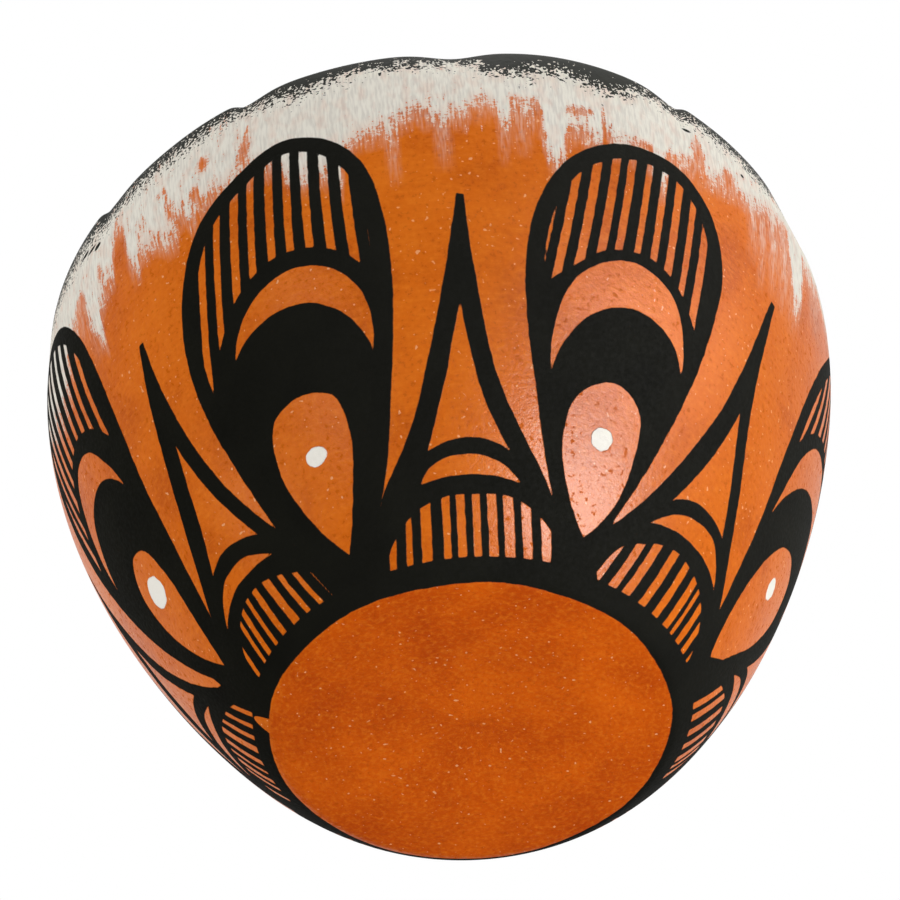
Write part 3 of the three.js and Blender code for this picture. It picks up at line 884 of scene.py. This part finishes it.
def black_paint(tree, coat):
    """Black paint of ground iron ore in boiled plant juice, put on with a yucca brush: even and matt."""
    place = add_node(tree, "TexCoord", {}, "Object")
    grain = add_node(tree, "TexNoise", {"Vector": place, "Scale": 1 / (0.6 * MM), "Detail": 3.0})
    cloud = add_node(tree, "TexNoise", {"Vector": place, "Scale": 1 / (9 * MM), "Detail": 3.0})
    shade = add_node(tree, "Mix", {0: cloud, 6: linear("#0a0a07"), 7: linear("#181812")}, 2, data_type="RGBA")
    roughness = add_node(tree, "MapRange", {"Value": grain, "From Min": 0.3, "From Max": 0.7, "To Min": 0.8})
    cover = wavering(tree, "black_paint_mm", 0.35)
    return lay_over(tree, coat, cover, shade, roughness, PAINTED, thick_mm=0.015)


def white_dots(tree, coat):
    """A dab of thick white slip in each drop, which stands up a little."""
    cover = wavering(tree, "white_dot_mm", 0.9)
    return lay_over(tree, coat, cover, linear("#f1ede3"), 0.6, MATT, thick_mm=0.12)


def lip_paint(tree, coat):
    """The same black, wiped round the lip with the side of the brush. It is painted greyer than the black on
    the wall, a painted sheen of the light that grazes the lip, and its lower edge breaks into flakes about a
    millimetre long and fine grains."""
    depth = add_node(tree, "Attribute", {}, "Fac", attribute_name="lip_paint_mm")
    speckle = add_node(tree, "Attribute", {}, "Fac", attribute_name="lip_speckle")
    flake = wall_marks(tree, 2.2, 1.2, 4.0, 0.7)
    grain = wall_marks(tree, 0.45, 0.4, 1.0)
    flaking = add_node(tree, "Math", {0: speckle, 1: -9.0, 2: 13.0}, operation="MULTIPLY_ADD")
    graining = add_node(tree, "Math", {0: speckle, 1: 7.0, 2: 9.0}, operation="MULTIPLY_ADD")
    reach = broken_up(tree, depth, (flake, flaking), (grain, graining))
    cover = add_node(tree, "MapRange", {"Value": reach, "From Min": -0.2, "From Max": 0.25})
    # The grey of this black is a painted sheen, where light grazes the lip
    shade = add_node(tree, "Mix", {0: flake, 6: linear("#161713"), 7: linear("#2f302a")}, 2, data_type="RGBA")
    return lay_over(tree, coat, cover, shade, 0.55, MATT, thick_mm=0.02)


def coated_clay(name, coats):
    material = bpy.data.materials.new(name)
    material.use_nodes = True
    tree = material.node_tree
    coat = None
    for lay in coats:
        coat = lay(tree, coat)
    bump = add_node(tree, "Bump", {"Distance": MM, "Height": coat["relief_mm"]})
    shader = tree.nodes["Principled BSDF"].inputs
    shader["Specular IOR Level"].default_value = CLAY_SPECULAR
    tree.links.new(coat["colour"], shader["Base Color"])
    tree.links.new(coat["roughness"], shader["Roughness"])
    tree.links.new(coat["gloss"], shader["Specular Tint"])
    tree.links.new(bump, shader["Normal"])
    return material


# The pieces
def add_piece(name, node, slot, material, rings, poles=()):
    mesh, azimuth, path, radius = piece_mesh(name, rings, poles)
    add_paint_marks(mesh, azimuth, path, radius)
    mesh.materials.append(material)
    piece = add_object(name, mesh)
    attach(piece, "root")
    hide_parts(node)


def add_jar():
    foot_clay = coated_clay("burnt_orange_slip_on_clay", [bare_clay, orange_slip, foot_slip, black_paint])
    brushed = [bare_clay, orange_slip, white_slip, black_paint]
    wall_clay = coated_clay("stone_polished_orange_slip", [*brushed, white_dots])
    rim_clay = coated_clay("brushed_white_slip", [*brushed, lip_paint])
    add_piece("jar_base", "base", "base_slip", foot_clay, *base_rings())
    coil_rise = (WALL_LENGTH - BASE_RISE - RIM_RISE) / WALL_COILS
    for i in range(WALL_COILS):
        start = BASE_RISE + coil_rise * i
        rings = coil_rings(start, start + coil_rise)
        add_piece(f"jar_coil_{i + 1}", f"coil_{i + 1}", "wall_slip", wall_clay, rings)
    add_piece("jar_rim_coil", "rim_coil", "rim_slip", rim_clay, rim_rings())


# Studio
WORLD_LIGHT = 0.545
FLOOR_HALF = 3.0  # metres


def add_floor():
    """A pale floor that only shows, and only stops light, from above."""
    corners = [(x * FLOOR_HALF, y * FLOOR_HALF, 0) for x, y in ((-1, -1), (1, -1), (1, 1), (-1, 1))]
    mesh = bpy.data.meshes.new("floor")
    mesh.from_pydata(corners, [], [(0, 1, 2, 3)])
    material = bpy.data.materials.new("pale_matt_floor")
    material.use_nodes = True
    tree = material.node_tree
    shader = tree.nodes["Principled BSDF"]
    shader.inputs["Base Color"].default_value = linear("#f4f4f4")
    shader.inputs["Roughness"].default_value = 0.9
    shader.inputs["Specular IOR Level"].default_value = 0.0
    clear = add_node(tree, "BsdfTransparent", {})
    from_below = add_node(tree, "NewGeometry", {}, "Backfacing")
    shown = add_node(tree, "MixShader", {0: from_below, 1: shader.outputs[0], 2: clear})
    tree.links.new(shown, tree.nodes["Material Output"].inputs["Surface"])
    mesh.materials.append(material)
    floor = add_object("floor", mesh)
    floor.location.z = -0.2 * MM
    floor.visible_shadow = False
    floor.visible_diffuse = False


def add_lamp(name, azimuth, elevation, away, size, watts):
    """A soft box that faces the jar: azimuth from the front to the right, elevation above the horizontal."""
    turn, rise = np.radians(azimuth), np.radians(elevation)
    towards = Vector((np.sin(turn) * np.cos(rise), -np.cos(turn) * np.cos(rise), np.sin(rise)))
    lamp = bpy.data.lights.new(name, "AREA")
    lamp.shape = "RECTANGLE"
    lamp.size, lamp.size_y = size
    lamp.energy = watts
    holder = add_object(name, lamp)
    holder.location = Vector((0, 0, HEIGHT / 2 * MM)) + towards * away
    holder.rotation_euler = towards.to_track_quat("Z", "Y").to_euler()
    return holder


def add_sheen_lamp(*setting):
    """A soft box that only shows as a reflection in the polished slip, and leaves the colours as they are."""
    add_lamp(*setting).visible_diffuse = False


def add_world():
    """White to the camera and in reflections, and a plain even light on the jar."""
    world = bpy.data.worlds.new("white_studio")
    world.use_nodes = True
    bpy.context.scene.world = world
    tree = world.node_tree
    seen = add_node(tree, "LightPath", {}, "Is Camera Ray")
    for ray in ("Is Glossy Ray", "Is Transmission Ray"):
        seen = add_node(tree, "Math", {0: seen, 1: add_node(tree, "LightPath", {}, ray)}, operation="MAXIMUM")
    strength = add_node(tree, "MapRange", {"Value": seen, "To Min": WORLD_LIGHT})
    background = tree.nodes["Background"].inputs
    background["Color"].default_value = (1, 1, 1, 1)
    tree.links.new(strength, background["Strength"])


def add_studio():
    bpy.context.scene.view_settings.view_transform = "Standard"
    add_world()
    add_floor()
    add_lamp("right_soft_box", 62, -16, 0.7, (0.22, 0.24), 1.7)
    add_lamp("left_soft_box", -68, -15, 0.7, (0.22, 0.24), 1.5)
    add_lamp("low_soft_box", 75, -60, 0.2, (0.08, 0.08), 0.08)
    add_lamp("top_soft_box", 20, 70, 0.8, (0.5, 0.5), 2.5)
    add_sheen_lamp("right_sheen_box", 45, -28, 0.7, (0.46, 0.38), 48.0)
    add_sheen_lamp("high_sheen_box", 50, 0, 0.7, (0.36, 0.3), 10.0)
    add_sheen_lamp("side_sheen_box", 72, 14, 0.7, (0.35, 0.35), 3.6)
    add_sheen_lamp("left_sheen_box", -34, -6, 0.7, (0.2, 0.3), 1.8)


add_camera()
add_jar()
add_studio()
